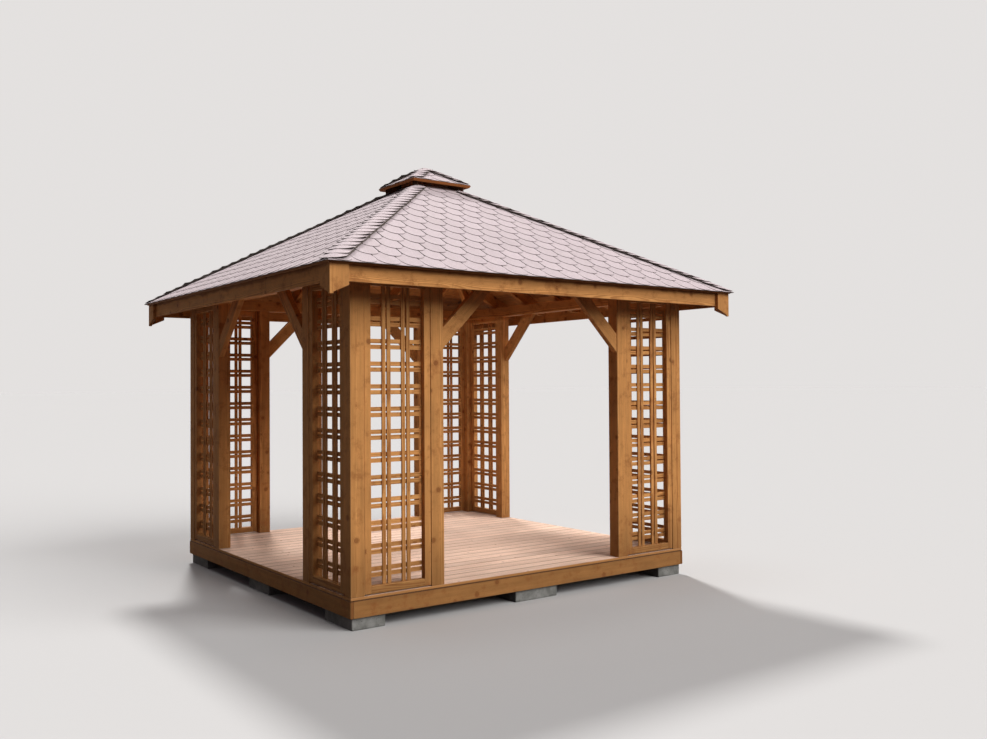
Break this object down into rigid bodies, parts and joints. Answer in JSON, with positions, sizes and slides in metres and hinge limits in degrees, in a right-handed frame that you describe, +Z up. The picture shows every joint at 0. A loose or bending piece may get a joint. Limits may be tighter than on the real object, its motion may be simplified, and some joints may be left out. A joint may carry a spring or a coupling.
{
  "type": "garden gazebo",
  "caption": "Square open garden gazebo of softwood on concrete blocks, with lattice corner panels, knee braces, a boarded floor and a shingled hip roof with a raised vent cap.",
  "frame": {"origin": "on the ground under the middle of the floor", "axes": "+Z up, -Y towards the front side, +X to the right as seen from the front"},
  "size_m": [3.626, 3.626, 3.3932],
  "materials": {
    "stained_wood": "satin honey-brown stain over planed pine",
    "deck_wood": "grooved boards, dry pinkish-brown",
    "shingle": "pale mineral granules on bitumen",
    "concrete": "rough grey pressed concrete"
  },
  "bodies": {
    "root": {"foundation_blocks": "concrete", "rim_board_front": "stained_wood", "rim_board_right": "stained_wood", "rim_board_back": "stained_wood", "rim_board_left": "stained_wood", "floor_joists": "stained_wood", "floor_deck": "deck_wood", "corner_posts": "stained_wood", "door_posts": "stained_wood", "lattice_front_left": "stained_wood", "lattice_front_right": "stained_wood", "lattice_right_front": "stained_wood", "lattice_right_back": "stained_wood", "lattice_back_right": "stained_wood", "lattice_back_left": "stained_wood", "lattice_left_back": "stained_wood", "lattice_left_front": "stained_wood", "top_plate_front": "stained_wood", "top_plate_right": "stained_wood", "top_plate_back": "stained_wood", "top_plate_left": "stained_wood", "knee_braces_front": "stained_wood", "knee_braces_right": "stained_wood", "knee_braces_back": "stained_wood", "knee_braces_left": "stained_wood", "king_block": "stained_wood", "hip_rafters": "stained_wood", "common_rafters": "stained_wood", "jack_rafters": "stained_wood", "fascia_front": "stained_wood", "fascia_right": "stained_wood", "fascia_back": "stained_wood", "fascia_left": "stained_wood", "corner_boards": "stained_wood", "roof_boarding_front": "stained_wood", "roof_boarding_right": "stained_wood", "roof_boarding_back": "stained_wood", "roof_boarding_left": "stained_wood", "roof_shingles_front": "shingle", "roof_shingles_right": "shingle", "roof_shingles_back": "shingle", "roof_shingles_left": "shingle", "cap_battens": "stained_wood", "cap_boarding": "stained_wood", "cap_shingles": "shingle"}
  },
  "joints": []
}
